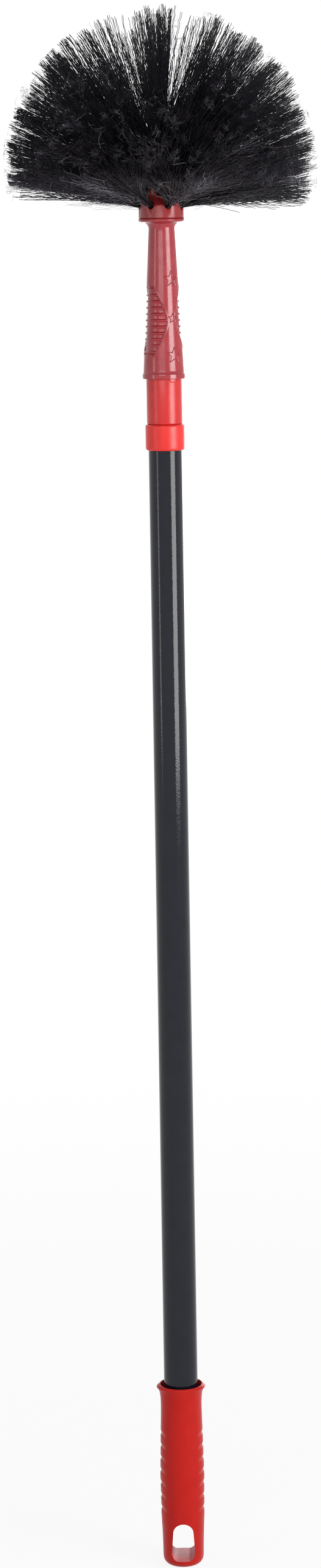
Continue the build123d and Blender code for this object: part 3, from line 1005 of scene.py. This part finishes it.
def fibre_piece(name, paths, radius, tip_share, material):
    """A mesh of thin tubes along the paths, each narrower towards its tip."""
    curve = bpy.data.curves.new(name, "CURVE")
    curve.dimensions = "3D"
    curve.bevel_mode = "OBJECT"
    curve.bevel_object = section_object
    curve.use_fill_caps = True
    for path in paths:
        spline = curve.splines.new("POLY")
        spline.points.add(len(path) - 1)
        spots = np.ones((len(path), 4))
        spots[:, :3] = path * mm
        spline.points.foreach_set("co", spots.ravel())
        widths = radius * np.linspace(1, tip_share, len(path))
        spline.points.foreach_set("radius", widths)
    data = mesh_of(curve)
    data.name = name
    data.shade_smooth()
    data.materials.append(material)
    return placed(name, data)


# %% Make the tufts
fibre_radius = 0.25
fibre_tip_share = 0.7
triangles = 0
for tuft in tufts:
    paths = tuft_paths(tuft, round(fibre_rows[tuft["row"]][0] * quick_share))
    # The lowest row takes the lighter bristle, with painted light from below.
    piece = fibre_piece(f"bristles_{tuft['row']}_{tuft['number']}", paths, fibre_radius, fibre_tip_share,
                        bristle_lit_from_below if tuft["row"] == "tuft_row_1" else bristle)
    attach(piece, "brush_head")
    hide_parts(tuft["row"])
    triangles += sum(len(p.vertices) - 2 for p in piece.data.polygons)
print("triangles of the bristles:", triangles)

# %% [markdown]
# ## Fuzz and curls
# Used bristles split into finer grey fibres. Short ones stand in feathery clumps all over the ball,
# in two pieces that overlap. Long wavy ones leave the holes of the two lowest rows,
# and a few loose curls lie on top. All are thin tubes, as the bristles are.

# %% Paths of the fuzz
fuzz_floor = socket_top + 5.5
sway_spans = ((2.4, 4.5), (9, 22))
sway_shares = (0.35, 0.7)


def random_heading(middle, spread, lowest, highest):
    """A random direction from the dome's centre, most often near the middle elevation."""
    return np.array(on_dome(rng.uniform(0, 360), np.clip(rng.normal(middle, spread), lowest, highest)))


def kept_in_dome(path):
    """A path pulled back where it would stand out of the ball."""
    far = np.linalg.norm(path - centre, axis=-1, keepdims=True)
    path = centre + (path - centre) * np.minimum(1, dome_radius / far)
    path[..., 2] = np.maximum(path[..., 2], fuzz_floor)
    return path


def wandering(start, heading, length, points, swing):
    """A path that sets out on a heading and sways both ways with uneven beats."""
    first = unit(np.cross(heading, rng.normal(0, 1, 3)))
    second = np.cross(heading, first)
    along = np.linspace(0, length, points)[:, None]
    sway = np.zeros((points, 3))
    for side in (first, second):
        beats = [rng.uniform(*span) for span in sway_spans]
        for beat, share in zip(beats, sway_shares):
            sway = sway + side * share * np.sin(tau * along / beat + rng.uniform(0, tau))
    direction = unit(heading + swing * sway)
    steps = direction * length / points
    return kept_in_dome(start + np.cumsum(steps, axis=0))


# %% Fuzz in feathery clumps
clump_count = 330
hairs_per_clump = 16
hair_radius = 0.075
hair_points = 6
hair_swing = 0.4
thin_share = 0.6
hair_lean = 0.65
hair_scatter = 1.5
hair_lengths = (1.5, 6)
clump_sizes = (0.6, 1.25)
clump_lean = 0.6
clump_depth_share = 0.55
fuzz_limits = (-9, 72)
fuzz_zones = {"low": (0, 13), "high": (24, 20)}
fuzz_pieces = []
for zone, (middle, spread) in fuzz_zones.items():
    fuzz_paths = []
    for _ in range(clump_count):
        outward = random_heading(middle, spread, *fuzz_limits)
        spot = centre + outward * dome_radius * rng.uniform(clump_depth_share, 1.0) ** 0.5
        lean_of_clump = unit(outward + rng.normal(0, clump_lean, 3))
        size = rng.uniform(*clump_sizes)
        for _ in range(hairs_per_clump):
            heading = unit(lean_of_clump + rng.normal(0, hair_lean, 3))
            start = spot + rng.normal(0, hair_scatter * size, 3)
            length = size * rng.uniform(*hair_lengths)
            fuzz_paths.append(wandering(start, heading, length, hair_points, hair_swing))
    fuzz_pieces.append(fibre_piece(f"fuzz_clumps_{zone}", fuzz_paths, hair_radius, thin_share, fuzz_grey))
print("fuzz hairs:", len(fuzz_pieces) * len(fuzz_paths))

# %% Frizz from the two lowest rows
frizz_count = 1200
frizz_radius = 0.08
frizz_points = 16
frizz_swing = 0.3
frizz_lengths = (14, 45)
frizz_turn = 15
frizz_rise = (11, 10)
frizz_limits = (0, 45)
frizz_start = 70
frizz_scatter = 2.0
lower_tufts = [tuft for tuft in tufts if tuft["row"] in ("tuft_row_1", "tuft_row_2")]
frizz_paths = []
for _ in range(frizz_count):
    tuft = lower_tufts[rng.integers(0, len(lower_tufts))]
    azimuth = tuft["azimuth"] + rng.normal(0, frizz_turn)
    heading = np.array(on_dome(azimuth, np.clip(rng.normal(*frizz_rise), *frizz_limits)))
    start = np.array(tuft["seat"] + tuft["aim"] * rng.uniform(0, frizz_start))
    start = start + rng.normal(0, frizz_scatter, 3)
    frizz_paths.append(wandering(start, heading, rng.uniform(*frizz_lengths), frizz_points, frizz_swing))
frizz = fibre_piece("frizz_strands", frizz_paths, frizz_radius, thin_share, curl_grey)
print("frizz:", len(frizz_paths))

# %% Loose curls
curl_count = 260
curl_points = 12
curl_swing = 0.6
curl_rise = (14, 26)
curl_limits = (-8, 75)
curl_depth_shares = (0.5, 0.98)
curl_lift = 0.4
curl_lengths = (4, 15)
curl_paths = []
for _ in range(curl_count):
    outward = random_heading(*curl_rise, *curl_limits)
    spot = centre + outward * dome_radius * rng.uniform(*curl_depth_shares) ** 0.6
    along_surface = unit(np.cross(outward, rng.normal(0, 1, 3)) + curl_lift * outward)
    curl_paths.append(wandering(spot, along_surface, rng.uniform(*curl_lengths), curl_points, curl_swing))
curls = fibre_piece("loose_curls", curl_paths, frizz_radius, thin_share, curl_grey)
for piece in (*fuzz_pieces, frizz, curls):
    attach(piece, "brush_head")
bpy.data.objects.remove(section_object)
print("curls:", len(curl_paths))

# %% [markdown]
# ## Studio
# The photograph has a white ground, a tall bright softbox to the right, a wide dim one high in front,
# and a narrow one to the left. A fourth lamp behind lights the views that the photograph doesn't show.
# The ground shows white to the camera by its own colour, and the lamps stay at a plain level.

# %% Floor and world
ambient = 0.45
floor_size = 12
floor_drop = 0.2
shade_start = 0.1
shade_end = 1.6
shade_level = 0.88


def shows_plain(tree):
    """1 for a camera, glossy or transmission ray, and 0 for the light that falls on the object."""
    rays = tree.nodes.new("ShaderNodeLightPath").outputs
    seen = add_math(tree, "MAXIMUM", rays["Is Camera Ray"], rays["Is Glossy Ray"])
    return add_math(tree, "MAXIMUM", seen, rays["Is Transmission Ray"])


world = bpy.data.worlds.new("studio")
bpy.context.scene.world = world
world.use_nodes = True
tree = world.node_tree
background = tree.nodes["Background"]
background.inputs["Color"].default_value = (1, 1, 1, 1)
level = add_range(tree, shows_plain(tree), ambient, 1, 0, 1)
tree.links.new(level, background.inputs["Strength"])

floor_mesh = bmesh.new()
bmesh.ops.create_grid(floor_mesh, x_segments=1, y_segments=1, size=floor_size)
bmesh.ops.translate(floor_mesh, verts=floor_mesh.verts, vec=(0, 0, -floor_drop * mm))
floor_material = bpy.data.materials.new("floor_white")
floor_material.use_nodes = True
tree = floor_material.node_tree
shader = tree.nodes["Principled BSDF"]
shader.inputs["Roughness"].default_value = 0.9
shader.inputs["Specular IOR Level"].default_value = 0.0
paper = tree.nodes.new("ShaderNodeEmission")
blend = tree.nodes.new("ShaderNodeMixShader")
fade = add_range(tree, distance_from(tree, 0), shade_level, 1, shade_start, shade_end)
fade.node.interpolation_type = "SMOOTHSTEP"
tree.links.new(add_math(tree, "MULTIPLY", shows_plain(tree), fade), blend.inputs["Fac"])
tree.links.new(shader.outputs["BSDF"], blend.inputs[1])
tree.links.new(paper.outputs["Emission"], blend.inputs[2])
tree.links.new(blend.outputs["Shader"], tree.nodes["Material Output"].inputs["Surface"])
floor = finished(floor_mesh, "studio_floor", floor_material)

# %% Softboxes
def softbox(name, azimuth, distance, foot, top, width, power):
    """A tall area lamp that faces the pole."""
    lamp = bpy.data.lights.new(name, "AREA")
    lamp.shape = "RECTANGLE"
    lamp.size = width
    lamp.size_y = top - foot
    lamp.energy = power
    light = placed(name, lamp)
    turn = radians(azimuth)
    light.location = (distance * sin(turn), -distance * cos(turn), (foot + top) / 2)
    light.rotation_euler = (radians(90), 0, turn)


softbox("key_softbox", azimuth=50, distance=1.6, foot=0.27, top=1.1, width=0.88, power=20.5)
softbox("high_softbox", azimuth=-12, distance=2.7, foot=1.0, top=2.0, width=1.7, power=18)
softbox("rim_softbox", azimuth=-59, distance=1.6, foot=0.3, top=1.2, width=0.25, power=2.2)
softbox("back_softbox", azimuth=165, distance=2.7, foot=0.2, top=1.6, width=1.8, power=22)
print("lamps:", len(bpy.data.lights))

# %% Camera
photo_height = 2576
horizon_pixel = 330
side_shift = -0.0005
camera_distance = 2.45
camera_height = 0.8912
pixel_size = 0.3985 * mm
lean = 0.948
camera_data = bpy.data.cameras.new("camera")
camera_data.lens = camera_data.sensor_width * camera_distance / (photo_height * pixel_size)
camera_data.shift_x = side_shift
camera_data.shift_y = (horizon_pixel - photo_height / 2) / photo_height
camera = placed("camera", camera_data)
camera.location = (0, -camera_distance, camera_height)
camera.rotation_euler = (radians(90), radians(lean), 0)
bpy.context.scene.camera = camera
bpy.context.scene.view_settings.view_transform = "Standard"
print(f"lens {camera_data.lens:.1f} mm, shift {camera_data.shift_y:.3f}")
